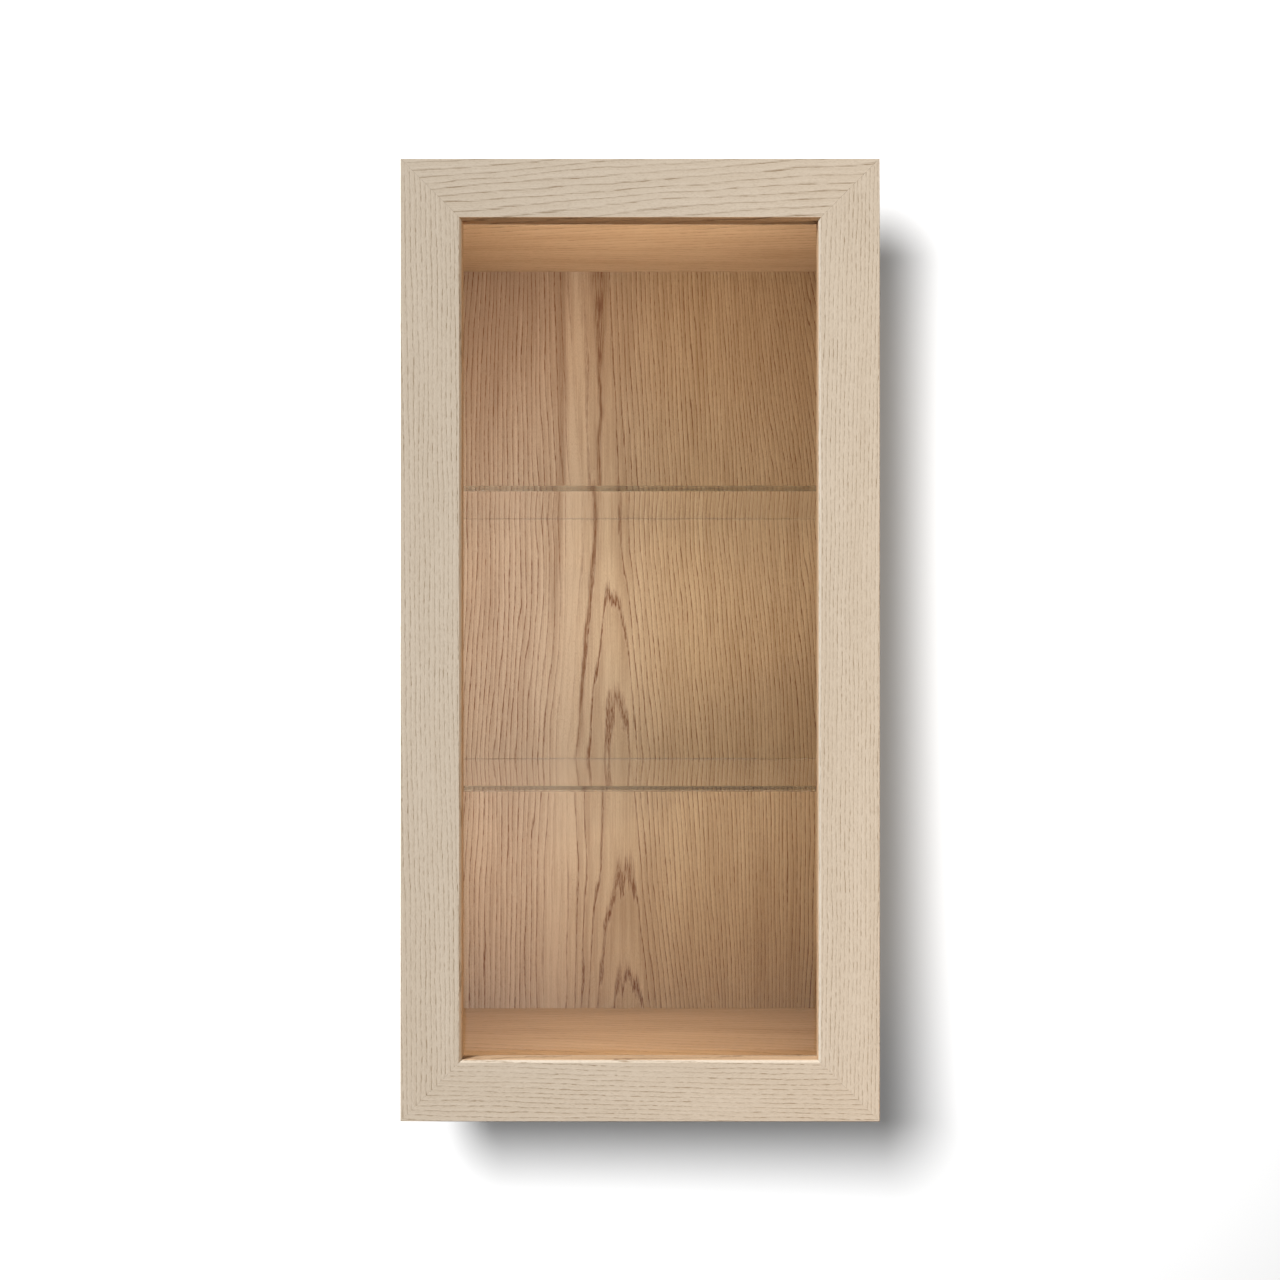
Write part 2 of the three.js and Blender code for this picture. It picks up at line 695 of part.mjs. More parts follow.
// The gooseneck arm. Its eye turns on the pin inside the cup. The neck lies low in the cup
// while the door is shut, leaves its mouth and runs back beside the panel to a thick body.
function arm() {
  const { width, thickness, reach, body, corner } = NECK;
  const top = thickness - EYE_RADIUS;
  const neck = prism(
    [
      [0, -EYE_RADIUS],
      [reach - corner, -EYE_RADIUS],
      [reach, corner - EYE_RADIUS],
      [reach, body + corner],
      [PLATE_TOP_X, body + corner],
      [PLATE_TOP_X, top + corner],
      [PLATE_TOP_X - corner, top],
      [0, top],
    ],
    "xy",
    -width / 2,
    width / 2,
  );
  const eye = rodZ(EYE_RADIUS, -width / 2, width / 2, ROUND);
  const far = body + ARM.length;
  const surface = PLATE_TOP_X + ARM.thickness;
  const back = prism(
    [
      [PLATE_TOP_X, body],
      [PLATE_TOP_X + ARM.nose, body],
      [surface, body + ARM.slope],
      [surface, far - ARM.tailChamfer],
      [surface - ARM.tailChamfer, far],
      [PLATE_TOP_X, far],
    ],
    "xy",
    -ARM.width / 2,
    ARM.width / 2,
  );
  const seats = ARM_SCREW.places.flatMap((y) => {
    const { radius, ring, depth, slotWidth, slotDepth } = ARM_SCREW;
    const groove = cut(rodX(radius + ring, surface - depth, surface + OVERCUT, ROUND), [
      rodX(radius, surface - depth - OVERCUT, surface + 2 * OVERCUT, ROUND),
    ]);
    const slot = block(
      [surface - slotDepth, surface + OVERCUT],
      [-slotWidth / 2, slotWidth / 2],
      [-radius + ring, radius - ring],
    );
    return [groove.translate(0, y, 0), slot.translate(0, y, 0)];
  });
  const pinBore = rodZ(HINGE_PIN.radius + BORE_FIT, -width, width, ROUND);
  return cut(join([neck, eye, back]), [pinBore, ...seats]);
}

// The cross-shaped plate that the arm is clamped to, on the side panel's inner face
function hingePlate() {
  const { thickness, width, start, length, wing, wingWidth, corner } = HINGE_PLATE;
  const middle = PANEL_FRONT_Y + PLATE_SCREW.setback;
  const front = middle - wingWidth / 2;
  const rear = middle + wingWidth / 2;
  const bar = block([PANEL_X, PANEL_X + thickness], [start, start + length], [-width / 2, width / 2]);
  const wings = prism(
    [
      [front, -wing / 2 + corner],
      [front + corner, -wing / 2],
      [rear - corner, -wing / 2],
      [rear, -wing / 2 + corner],
      [rear, wing / 2 - corner],
      [rear - corner, wing / 2],
      [front + corner, wing / 2],
      [front, wing / 2 - corner],
    ],
    "yz",
    PANEL_X,
    PANEL_X + thickness / 2,
  );
  const holeAt = (z) =>
    rodX(SCREW.shank + FIT, PANEL_X - OVERCUT, PLATE_TOP_X, SMALL_ROUND).translate(0, middle, z);
  return cut(join([bar, wings]), [holeAt(-PLATE_SCREW.spread), holeAt(PLATE_SCREW.spread)]);
}

function hinge(level) {
  const name = `hinge_${level}`;
  const pin = rodZ(HINGE_PIN.radius, -HINGE_PIN.halfLength, HINGE_PIN.halfLength, ROUND);
  const made = group(
    piece(`${name}_cup`, cup(), STEEL),
    piece(`${name}_pin`, pin, STEEL),
    piece(`${name}_arm`, arm(), STEEL),
    piece(`${name}_plate`, hingePlate(), STEEL),
  );
  for (const [end, sign] of [["lower", -1], ["upper", 1]]) {
    const onCup = [CUP_X + CUP_SCREW.offset, RIM_Y + FIT, sign * CUP_SCREW.spread];
    const onPlate = [
      PANEL_X + HINGE_PLATE.thickness / 2 + FIT,
      PANEL_FRONT_Y + PLATE_SCREW.setback,
      sign * PLATE_SCREW.spread,
    ];
    made.add(
      piece(`${name}_cup_screw_${end}`, SCREW_GEOMETRY, ZINC, onCup),
      piece(`${name}_plate_screw_${end}`, SCREW_GEOMETRY, ZINC, onPlate, OUT_OF_LEFT_PANEL),
    );
  }
  made.position.set(PIN_AXIS.x, PIN_AXIS.y, HINGE_HEIGHTS[level]);
  return made;
}

// --- Push latch -------------------------------------------------------------------------
// The latch is built about its plunger's axis, with y as in the cabinet.

const LATCH_FRONT = behindFront(LATCH.front);
const LATCH_X = INNER_SIDE - LATCH.axisFromPanel;
const TIP_Y = behindFront(PLUNGER.tipDepth);
const BORE_END = LATCH_FRONT + LATCH.boreLength;

function latchHousing() {
  const half = LATCH.width / 2;
  const top = LATCH.height / 2;
  const shell = prism(
    [
      [-half + LATCH.chamfer, -top],
      [half, -top],
      [half, top],
      [-half + LATCH.chamfer, top],
      [-half, top - LATCH.chamfer],
      [-half, -top + LATCH.chamfer],
    ],
    "xy",
    0,
    LATCH.length,
  );
  shell.rotateX(Math.PI / 2).translate(0, LATCH_FRONT + LATCH.length, 0);
  const { thickness, height, inset } = LATCH_BASE;
  const base = block(
    [half - thickness, half],
    [LATCH_FRONT + inset, LATCH_FRONT + LATCH.length - inset],
    [-height / 2, height / 2],
  );
  const bore = rodY(LATCH.bore, LATCH_FRONT - OVERCUT, BORE_END, ROUND);
  const holeAt = (z) =>
    rodX(SCREW.shank + FIT, 0, half + OVERCUT, SMALL_ROUND).translate(0, LATCH_MIDDLE, z);
  return cut(join([shell, base]), [bore, holeAt(-LATCH_SCREW_SPREAD), holeAt(LATCH_SCREW_SPREAD)]);
}

function plunger() {
  const { radius, length, tipChamfer } = PLUNGER;
  return turned(
    [
      [0, TIP_Y],
      [radius - tipChamfer, TIP_Y],
      [radius, TIP_Y + tipChamfer],
      [radius, TIP_Y + length],
      [0, TIP_Y + length],
    ],
    ROUND,
  );
}

class Coil extends THREE.Curve {
  constructor(radius, turns, start, end) {
    super();
    Object.assign(this, { radius, turns, start, end });
  }

  getPoint(t, target = new THREE.Vector3()) {
    const angle = 2 * Math.PI * this.turns * t;
    const along = THREE.MathUtils.lerp(this.start, this.end, t);
    return target.set(this.radius * Math.cos(angle), along, this.radius * Math.sin(angle));
  }
}

function spring() {
  const { radius, wire, turns, gap, stepsPerTurn, wireSides } = SPRING;
  const coil = new Coil(radius, turns, TIP_Y + PLUNGER.length + gap + wire, BORE_END - gap - wire);
  const section = new THREE.Shape().absarc(0, 0, wire, 0, 2 * Math.PI);
  return new THREE.ExtrudeGeometry(section, {
    extrudePath: coil,
    steps: turns * stepsPerTurn,
    curveSegments: wireSides,
    bevelEnabled: false,
  });
}

function strikePlate() {
  const { radius, thickness, chamfer } = STRIKE;
  return turned(
    [
      [0, 0],
      [radius, 0],
      [radius, thickness - chamfer],
      [radius - chamfer, thickness],
      [0, thickness],
    ],
    ROUND,
  );
}

function latch() {
  const screwX = LATCH.width / 2 - LATCH_BASE.thickness - FIT;
  const made = group(
    piece("latch_housing", latchHousing(), BLACK_PLASTIC),
    piece("latch_plunger", plunger(), BLACK_PLASTIC),
    piece("latch_spring", spring(), SPRING_STEEL),
    piece("strike_plate", strikePlate(), STEEL, [0, DOOR_BACK, 0]),
  );
  for (const [end, sign] of [["lower", -1], ["upper", 1]]) {
    const place = [screwX, LATCH_MIDDLE, sign * LATCH_SCREW_SPREAD];
    made.add(piece(`latch_screw_${end}`, SCREW_GEOMETRY, ZINC, place, OUT_OF_RIGHT_PANEL));
  }
  made.position.set(LATCH_X, 0, LATCH_HEIGHT);
  return made;
}

// --- Assembly ---------------------------------------------------------------------------

const showcase = group(
  carcass(),
  cleats(),
  shelves(),
  doorFrame(),
  buffers(),
  hinge("upper"),
  hinge("lower"),
  latch(),
);
showcase.position.z = -ORIGIN_HEIGHT;

export default group(showcase);
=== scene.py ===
# The looks of the wall-mounted showcase: oak, glass, fittings, studio light and camera.
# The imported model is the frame. Blender objects are in metres, and wood patterns in millimetres.

import math

import bmesh
import bpy
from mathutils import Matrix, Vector


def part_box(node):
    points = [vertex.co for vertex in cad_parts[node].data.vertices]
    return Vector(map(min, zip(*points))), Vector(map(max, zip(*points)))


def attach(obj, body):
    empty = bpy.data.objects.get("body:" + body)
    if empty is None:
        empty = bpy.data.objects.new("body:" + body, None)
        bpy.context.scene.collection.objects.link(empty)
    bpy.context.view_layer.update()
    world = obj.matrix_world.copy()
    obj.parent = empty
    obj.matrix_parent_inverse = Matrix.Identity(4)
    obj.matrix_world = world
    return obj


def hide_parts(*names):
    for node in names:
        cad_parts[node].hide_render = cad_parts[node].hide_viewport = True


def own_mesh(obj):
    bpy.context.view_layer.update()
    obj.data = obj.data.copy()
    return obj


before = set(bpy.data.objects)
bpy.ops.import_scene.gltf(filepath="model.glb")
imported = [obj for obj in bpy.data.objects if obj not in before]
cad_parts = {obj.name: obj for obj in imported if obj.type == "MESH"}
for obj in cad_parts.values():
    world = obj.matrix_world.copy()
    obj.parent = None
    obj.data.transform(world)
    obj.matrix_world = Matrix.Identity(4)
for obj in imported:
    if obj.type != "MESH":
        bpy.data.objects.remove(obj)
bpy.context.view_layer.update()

MM = 0.001
PER_METRE = 1000.0

# Places that the materials, the lights and the camera are set out from, in metres
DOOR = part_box("door_stile_left")
DOOR_FRONT = DOOR[0][1]
DOOR_BACK = DOOR[1][1]
BASE = DOOR[0][2]
TOP = DOOR[1][2]
MIDDLE = (BASE + TOP) / 2
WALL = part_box("side_panel_left")[1][1]

# How far the back panel reaches into the boards' grooves, in millimetres
GROOVE_REACH = 5.0

# The camera looks square on at the door's middle, from this many metres in front of it
CAMERA_DISTANCE = 1.297
LENS = 35.0
SENSOR = 36.0

# Wood finishes: the ground, the broad darker bands and the open pores
PALE = {"ground": (0.625, 0.560, 0.472), "band": (0.500, 0.428, 0.335), "pore": (0.26, 0.190, 0.120)}
WARM = {"ground": (0.600, 0.418, 0.262), "band": (0.420, 0.263, 0.148), "pore": (0.12, 0.060, 0.030)}
PLYWOOD = {"ground": (0.56, 0.41, 0.25), "band": (0.45, 0.31, 0.18), "pore": (0.30, 0.19, 0.10)}


# --- Materials --------------------------------------------------------------------------


class Nodes:
    """A node tree, with short calls for the nodes that it is made of."""

    def __init__(self, tree):
        self.tree = tree

    def node(self, kind, inputs=(), **settings):
        made = self.tree.nodes.new(kind)
        for key, value in settings.items():
            setattr(made, key, value)
        for key, value in dict(inputs).items():
            self.feed(made.inputs[key], value)
        return made

    def feed(self, socket, value):
        if isinstance(value, bpy.types.NodeSocket):
            self.tree.links.new(value, socket)
        else:
            socket.default_value = value

    def math(self, operation, *values):
        return self.node("ShaderNodeMath", enumerate(values), operation=operation).outputs[0]

    def total(self, *values):
        result = values[0]
        for value in values[1:]:
            result = self.math("ADD", result, value)
        return result

    def times(self, *values):
        result = values[0]
        for value in values[1:]:
            result = self.math("MULTIPLY", result, value)
        return result

    def raised(self, value, least):
        """A value from 0 to 1, squeezed to lie from least to 1."""
        return self.total(self.times(value, 1.0 - least), least)

    def sway(self, noise, reach):
        """Noise from 0 to 1 as a shift to both sides, reach from end to end."""
        return self.times(self.total(noise, -0.5), reach)

    def steps(self, value, start, end):
        """0 at start, 1 at end and smooth between. The end may lie below the start."""
        made = self.node(
            "ShaderNodeMapRange",
            {"Value": value, "From Min": start, "From Max": end},
            interpolation_type="SMOOTHSTEP",
        )
        return made.outputs["Result"]

    def ramp(self, value, low, high):
        """0 below low, 1 above high and straight between."""
        made = self.node("ShaderNodeMapRange", {"Value": value, "From Min": low, "From Max": high})
        return made.outputs["Result"]

    def vector(self, x, y, z):
        return self.node("ShaderNodeCombineXYZ", {"X": x, "Y": y, "Z": z}).outputs[0]

    def scaled(self, place, scale):
        """The vector of three numbers, each times scale."""
        return self.vector(*(self.times(part, scale) for part in place))

    def noise(self, place, detail=2.0, rough=0.5):
        """Smooth noise from about 0 to 1, with a grain of one unit of place."""
        made = self.node(
            "ShaderNodeTexNoise",
            {"Vector": place, "Scale": 1.0, "Detail": detail, "Roughness": rough},
        )
        return made.outputs["Fac"]


class Shader(Nodes):
    """A new material, with calls for the nodes that only a material has."""

    def __init__(self, name):
        self.material = bpy.data.materials.new(name)
        self.material.use_nodes = True
        super().__init__(self.material.node_tree)
        self.tree.nodes.clear()

    def mix(self, factor, first, second):
        made = self.node("ShaderNodeMix", data_type="RGBA")
        self.feed(made.inputs["Factor"], factor)
        for socket, value in zip([s for s in made.inputs if s.type == "RGBA"], (first, second)):
            self.feed(socket, value if isinstance(value, bpy.types.NodeSocket) else (*value, 1.0))
        return next(s for s in made.outputs if s.type == "RGBA")

    def object_place(self):
        """Object coordinates in millimetres, as three numbers."""
        place = self.node("ShaderNodeTexCoord").outputs["Object"]
        parts = self.node("ShaderNodeSeparateXYZ", {"Vector": place}).outputs
        return [self.times(part, PER_METRE) for part in parts]

    def bump(self, height, strength, distance):
        made = self.node(
            "ShaderNodeBump", {"Height": height, "Strength": strength, "Distance": distance}
        )
        return made.outputs["Normal"]

    def surface(self, shader):
        output = self.node("ShaderNodeOutputMaterial")
        self.feed(output.inputs["Surface"], shader)
        return self.material

    def principled(self, **inputs):
        made = self.node("ShaderNodeBsdfPrincipled")
        for key, value in inputs.items():
            if isinstance(value, tuple):
                value = (*value, 1.0)
            self.feed(made.inputs[key.replace("_", " ")], value)
        return made.outputs["BSDF"]


AXES = {"x": 0, "y": 1, "z": 2}

# The noises that the oak's pattern is made of. size is a noise's grain across and along the board in
# millimetres, shift keeps the noises apart, and cut gives the levels between which one turns on.
NOISES = {
    "wander": {"size": (55.0, 260.0), "shift": 11.0},
    "ripple": {"shift": 31.0},
    "pores": {"shift": 71.0, "detail": 1.0, "cut": (0.44, 0.56)},
    "fine pores": {"size": (0.35, 3.2), "shift": 91.0, "detail": 1.0, "cut": (0.50, 0.72)},
    "strength": {"size": (30.0, 120.0), "shift": 131.0, "cut": (0.25, 0.65)},
    "threads": {"size": (1.1, 30.0), "shift": 211.0, "cut": (0.35, 0.62)},
    "fibre": {"size": (1.6, 70.0), "shift": 151.0, "detail": 3.0, "rough": 0.6},
    "tone": {"size": (24.0, 300.0), "shift": 171.0},
}

# What a board's pattern is like where its own look doesn't say. A look also gives the rings' pitch.
PLAIN_LOOK = {
    "seed": 0.0,  # shifts all the noises, so that no two boards are alike
    "wander": 9.0,  # how far the rings stray slowly, in millimetres
    "ripple": 3.2,  # how far they stray quickly, in millimetres
    "ripple_size": (9.0, 42.0),
    "width": 0.24,  # the part of a year that the open pores take
    "pore_size": (0.75, 9.0),
    "solid": 0.15,  # how dark a line is between its pores
    "strong_from": 0.5,  # how dark the faintest stretch of a line is
    "contrast": 0.9,  # how dark the lines are
    "scatter": 0.22,  # how dark the fine pores between the lines are
    "fibre": 0.9,  # how much the fibres change the tone
    "tone": 1.1,  # how much the tone drifts over the board
    "summer": 0.25,  # how much each year darkens to its end
}

# The band of pores has its full strength between these parts of its width
BAND_FULL = (0.3, 0.45)
CALMED = 0.85
THREAD_DARKNESS = 0.9
BASE_TONE = 0.25
FIBRE_HEIGHT = 0.25
OAK_ROUGHNESS = 0.52
PORE_ROUGHNESS = 0.15
OAK_GLOSS = 0.35
OAK_BUMP = {"strength": 0.35, "distance": 0.2 * MM}

# Between these millimetres outside a board's natural face, the natural tones turn to the pale ones
LIMED_FROM = 0.2
LIMED_TO = 0.6


def grain_axes(shader, across, along):
    """The place across the grain, into the board and along the grain, in millimetres."""
    place = shader.object_place()
    depth = ({"x", "y", "z"} - {across, along}).pop()
    return place[AXES[across]], place[AXES[depth]], place[AXES[along]]


def ring_distance(shader, place, pith, taper):
    """The distance from a straight, tapering log's heart, in millimetres."""
    across, depth, along = place
    from_heart = shader.math("SUBTRACT", across, pith[0])
    into_board = shader.math("SUBTRACT", depth, pith[1])
    square = shader.total(
        shader.times(from_heart, from_heart), shader.times(into_board, into_board)
    )
    return shader.total(shader.math("SQRT", square), shader.times(along, taper))


def grain_noise(shader, place, look, name, size=None):
    """One of the pattern's noises, stretched along the grain."""
    row = NOISES[name]
    across, depth, along = place
    wide, long = size or row["size"]
    stretched = shader.vector(
        shader.times(shader.total(across, look["seed"] + row["shift"]), 1.0 / wide),
        shader.times(depth, 1.0 / wide),
        shader.times(along, 1.0 / long),
    )
    noise = shader.noise(stretched, row.get("detail", 2.0), row.get("rough", 0.5))
    return shader.steps(noise, *row["cut"]) if "cut" in row else noise


def year_turn(shader, place, rings, look):
    """How much of its year's growth each place is through, from 0 to 1."""
    wander = shader.sway(grain_noise(shader, place, look, "wander"), look["wander"])
    ripple = grain_noise(shader, place, look, "ripple", look["ripple_size"])
    strayed = shader.total(rings, wander, shader.sway(ripple, look["ripple"]))
    return shader.math("FRACT", shader.times(strayed, 1.0 / look["pitch"]))


def pore_lines(shader, place, turn, look):
    """How dark each place is: lines of open pores where the years start, and fine pores between."""
    width = look["width"]
    pores = grain_noise(shader, place, look, "pores", look["pore_size"])
    strong = grain_noise(shader, place, look, "strength")
    lines = shader.times(
        shader.steps(turn, 0.0, width * BAND_FULL[0]),
        shader.steps(turn, width, width * BAND_FULL[1]),
        shader.raised(pores, look["solid"]),
        shader.raised(strong, look["strong_from"]),
    )
    if "calm_stripe" in look:
        lines = shader.times(lines, shader.total(1.0, shader.times(look["calm_stripe"], -CALMED)))
    if "streaks" in look:
        threads = grain_noise(shader, place, look, "threads")
        streaks = shader.times(threads, look["streaks"], THREAD_DARKNESS)
        lines = shader.math("MAXIMUM", lines, streaks)
    scattered = shader.times(grain_noise(shader, place, look, "fine pores"), look["scatter"])
    dark = shader.total(shader.times(lines, look["contrast"]), scattered)
    return shader.math("MINIMUM", dark, 1.0)


def board_tone(shader, place, turn, fibre, look):
    """Where each place lies from the ground's colour, at 0, to the bands' colour, at 1."""
    tone = shader.total(
        shader.sway(fibre, look["fibre"]),
        shader.sway(grain_noise(shader, place, look, "tone"), look["tone"]),
        shader.times(shader.steps(turn, look["width"], 1.0), look["summer"]),
        BASE_TONE,
    )
    return shader.total(tone, look["figure_and_painted_shade"]) if "figure_and_painted_shade" in look else tone


def oak_surface(shader, place, rings, tones, look):
    """Oak, from its own axes and its ring coordinate."""
    look = {**PLAIN_LOOK, **look}
    turn = year_turn(shader, place, rings, look)
    dark = pore_lines(shader, place, turn, look)
    fibre = grain_noise(shader, place, look, "fibre")
    tone = board_tone(shader, place, turn, fibre, look)
    colour = shader.mix(tone, tones["ground"], tones["band"])
    height = shader.total(shader.times(dark, -1.0), shader.times(fibre, FIBRE_HEIGHT))
    return shader.surface(
        shader.principled(
            Base_Color=shader.mix(dark, colour, tones["pore"]),
            Roughness=shader.total(shader.times(dark, PORE_ROUGHNESS), OAK_ROUGHNESS),
            Specular_IOR_Level=OAK_GLOSS,
            Normal=shader.bump(height, **OAK_BUMP),
        )
    )


def oak(name, across, along, tones, pith, taper, **look):
    """A plain board of oak with its grain along one axis."""
    shader = Shader(name)
    place = grain_axes(shader, across, along)
    rings = ring_distance(shader, place, pith, taper)
    return oak_surface(shader, place, rings, tones, look)


def limed_outside(shader, place, middle, inner_face):
    """The natural tones up to a board's inner face, and the pale ones outside it."""
    distance = shader.math("ABSOLUTE", shader.math("SUBTRACT", place, middle))
    outside = shader.ramp(distance, inner_face + LIMED_FROM, inner_face + LIMED_TO)
    return {key: shader.mix(outside, WARM[key], PALE[key]) for key in WARM}


def glass(name, tint, ior):
    """Clear glass that lets the lights' shadows through."""
    shader = Shader(name)
    clear = shader.principled(Base_Color=tint, Roughness=0.0, IOR=ior, Transmission_Weight=1.0)
    passing = shader.node("ShaderNodeBsdfTransparent", {"Color": (*tint, 1.0)}).outputs[0]
    shadow = shader.node("ShaderNodeLightPath").outputs["Is Shadow Ray"]
    mixed = shader.node("ShaderNodeMixShader", {0: shadow, 1: clear, 2: passing})
    return shader.surface(mixed.outputs[0])


# How much the drawn lines and the clouds change metal's roughness, and the clouds its colour
DRAWN_ROUGHNESS = 0.12
CLOUD_ROUGHNESS = 0.14
CLOUD_SCALE = 0.15
CLOUD_DARKER = 0.82
METAL_BUMP = {"strength": 0.08, "distance": 0.1 * MM}


def metal(name, colour, roughness, grain):
    """Plated metal with faint drawn lines and cloudy gloss."""
    shader = Shader(name)
    x, y, z = shader.object_place()
    lines = shader.noise(shader.vector(x, shader.times(y, grain), z), detail=3.0)
    clouds = shader.noise(shader.scaled((x, y, z), CLOUD_SCALE))
    rough = shader.total(
        roughness - DRAWN_ROUGHNESS,
        shader.times(lines, DRAWN_ROUGHNESS),
        shader.times(clouds, CLOUD_ROUGHNESS),
    )
    darker = tuple(part * CLOUD_DARKER for part in colour)
    return shader.surface(
        shader.principled(
            Base_Color=shader.mix(clouds, colour, darker),
            Metallic=1.0,
            Roughness=rough,
            Normal=shader.bump(lines, **METAL_BUMP),
        )
    )


# How much the fine texture changes a moulded surface's roughness, and broad patches its colour
TEXTURE_ROUGHNESS = 0.12
PATCH_SCALE = 0.1
PATCH_LIGHTER = 1.25
MOULDED_BUMP = {"strength": 0.3, "distance": 0.1 * MM}


def moulded(name, colour, roughness, grain):
    """Moulded plastic or rubber with a fine spark-eroded texture."""
    shader = Shader(name)
    place = shader.object_place()
    texture = shader.noise(shader.scaled(place, grain), detail=3.0)
    patches = shader.noise(shader.scaled(place, PATCH_SCALE))
    lighter = tuple(part * PATCH_LIGHTER for part in colour)
    return shader.surface(
        shader.principled(
            Base_Color=shader.mix(patches, colour, lighter),
            Roughness=shader.total(roughness, shader.times(texture, TEXTURE_ROUGHNESS)),
            Normal=shader.bump(texture, **MOULDED_BUMP),
        )
    )


# --- Pieces -----------------------------------------------------------------------------


WELD_REACH = 0.01 * MM
FLAT_WITHIN = math.radians(0.5)
SHARP_FROM = math.radians(30)
EASE_SEGMENTS = 2


def paint_node(node, material):
    """Gives a CAD node's object this material."""
    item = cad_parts[node]
    if not item.material_slots:
        item.data.materials.append(material)
    for slot in item.material_slots:
        slot.material = material


def new_piece(name, shape, material, body):
    """A finished bmesh as an object that rides on a body."""
    mesh = bpy.data.meshes.new(name)
    shape.to_mesh(mesh)
    shape.free()
    made = bpy.data.objects.new(name, mesh)
    made.data.materials.append(material)
    bpy.context.scene.collection.objects.link(made)
    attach(made, body)
    return made


def soften(node, width, smooth):
    """Eases a CAD node's edges, and smooths its round faces, without touching its mesh."""
    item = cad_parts[node]
    if smooth:
        item.data.shade_smooth()
    weld = item.modifiers.new("weld", "WELD")
    weld.merge_threshold = WELD_REACH
    flat = item.modifiers.new("flat faces", "DECIMATE")
    flat.decimate_type = "DISSOLVE"
    flat.angle_limit = FLAT_WITHIN
    ease = item.modifiers.new("eased edges", "BEVEL")
    ease.width = width
    ease.segments = EASE_SEGMENTS
    ease.limit_method = "ANGLE"
    ease.angle_limit = SHARP_FROM
    ease.harden_normals = smooth


# --- Oak boards -------------------------------------------------------------------------


# The door's boards, in millimetres. pith is where the log's heart lies, across the grain and into
# the board; taper is how much the rings spread for each millimetre along it.
# The chamfers' width; on the top rail it widens the natural tones, as painted shade on that chamfer
LIP_CHAMFER = 2.5
DOOR_LOOK = {
    "contrast": 0.8, "scatter": 0.28, "fibre": 0.85, "tone": 0.6, "summer": 0.22, "width": 0.34,
}
STILES = {
    "left": {"pith": (-420, -250), "taper": 0.012, "pitch": 4.4, "seed": 40},
    "right": {"pith": (80, -300), "taper": -0.01, "pitch": 4.0, "seed": 310},
}
RAILS = {
    "top": {
        "pith": (-260, -150), "taper": -0.07, "pitch": 6.8, "seed": 520,
        "wander": 22.0, "pore_size": (0.75, 26.0),
    },
    "bottom": {"pith": (-1300, -250), "taper": 0.02, "pitch": 5.0, "seed": 730},
}
BEADS = {"pith": (-60, 90), "taper": 0.01, "pitch": 3.8, "seed": 60}

# The case's boards
SIDES = {
    "left": {"pith": (-170, -300), "seed": -120},
    "right": {"pith": (-170, 375), "seed": 150},
}
ENDS = {
    "top": {"pith": (-260, 260), "seed": 260},
    "bottom": {"pith": (-260, -1040), "seed": -1040},
}
SIDE_LOOK = {"taper": 0.05, "pitch": 6.0, "contrast": 0.75}
END_LOOK = {"taper": 0.06, "pitch": 5.5, "contrast": 0.6}
CLEAT_LOOK = {"pith": (40, -90), "taper": 0.02, "pitch": 4.5, "seed": 820}


def door_bar(node, across, along, middle, lip, pith, taper, **look):
    """A bar of the door: limed, but natural on the edge that faces the opening."""
    shader = Shader(f"{node} oak")
    place = grain_axes(shader, across, along)
    rings = ring_distance(shader, place, pith, taper)
    tones = limed_outside(shader, place[0], middle, lip)
    paint_node(node, oak_surface(shader, place, rings, tones, {**DOOR_LOOK, **look}))


def bead(side, across, along):
    material = oak(f"bead oak {side}", across, along, PALE, **BEADS, **DOOR_LOOK)
    paint_node(f"glazing_bead_{side}", material)


def door_oak():
    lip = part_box("door_stile_right")[0][0] * PER_METRE
    for side, board in STILES.items():
        door_bar(f"door_stile_{side}", "x", "z", 0.0, lip, **board)
        bead(side, "x", "z")
    lip = (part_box("door_rail_top")[0][2] - MIDDLE) * PER_METRE
    for side, board in RAILS.items():
        # The top rail's chamfer takes the darker, warmer natural tones too: painted shade, since
        # that chamfer faces down, away from the key light
        natural = lip + LIP_CHAMFER if side == "top" else lip
        door_bar(f"door_rail_{side}", "z", "x", MIDDLE * PER_METRE, natural, **board)
        bead(side, "z", "x")


def carcass_board(node, across, along, inner_face, middle, pith, taper, **look):
    """A board of the case: natural inside, limed on its edges and its outer face."""
    shader = Shader(f"{node} oak")
    place = grain_axes(shader, across, along)
    rings = ring_distance(shader, place, pith, taper)
    tones = limed_outside(shader, place[1], middle, inner_face)
    paint_node(node, oak_surface(shader, place, rings, tones, look))


def carcass_oak():
    inner_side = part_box("back_panel")[1][0] * PER_METRE - GROOVE_REACH
    inner_end = (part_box("back_panel")[1][2] - MIDDLE) * PER_METRE - GROOVE_REACH
    for side, board in SIDES.items():
        carcass_board(f"side_panel_{side}", "y", "z", inner_side, 0.0, **board, **SIDE_LOOK)
    for side, board in ENDS.items():
        middle = MIDDLE * PER_METRE
        carcass_board(f"{side}_panel", "y", "x", inner_end, middle, **board, **END_LOOK)
    for node in ("cabinet_cleat", "wall_cleat"):
        paint_node(node, oak(f"{node} oak", "z", "x", WARM, **CLEAT_LOOK))


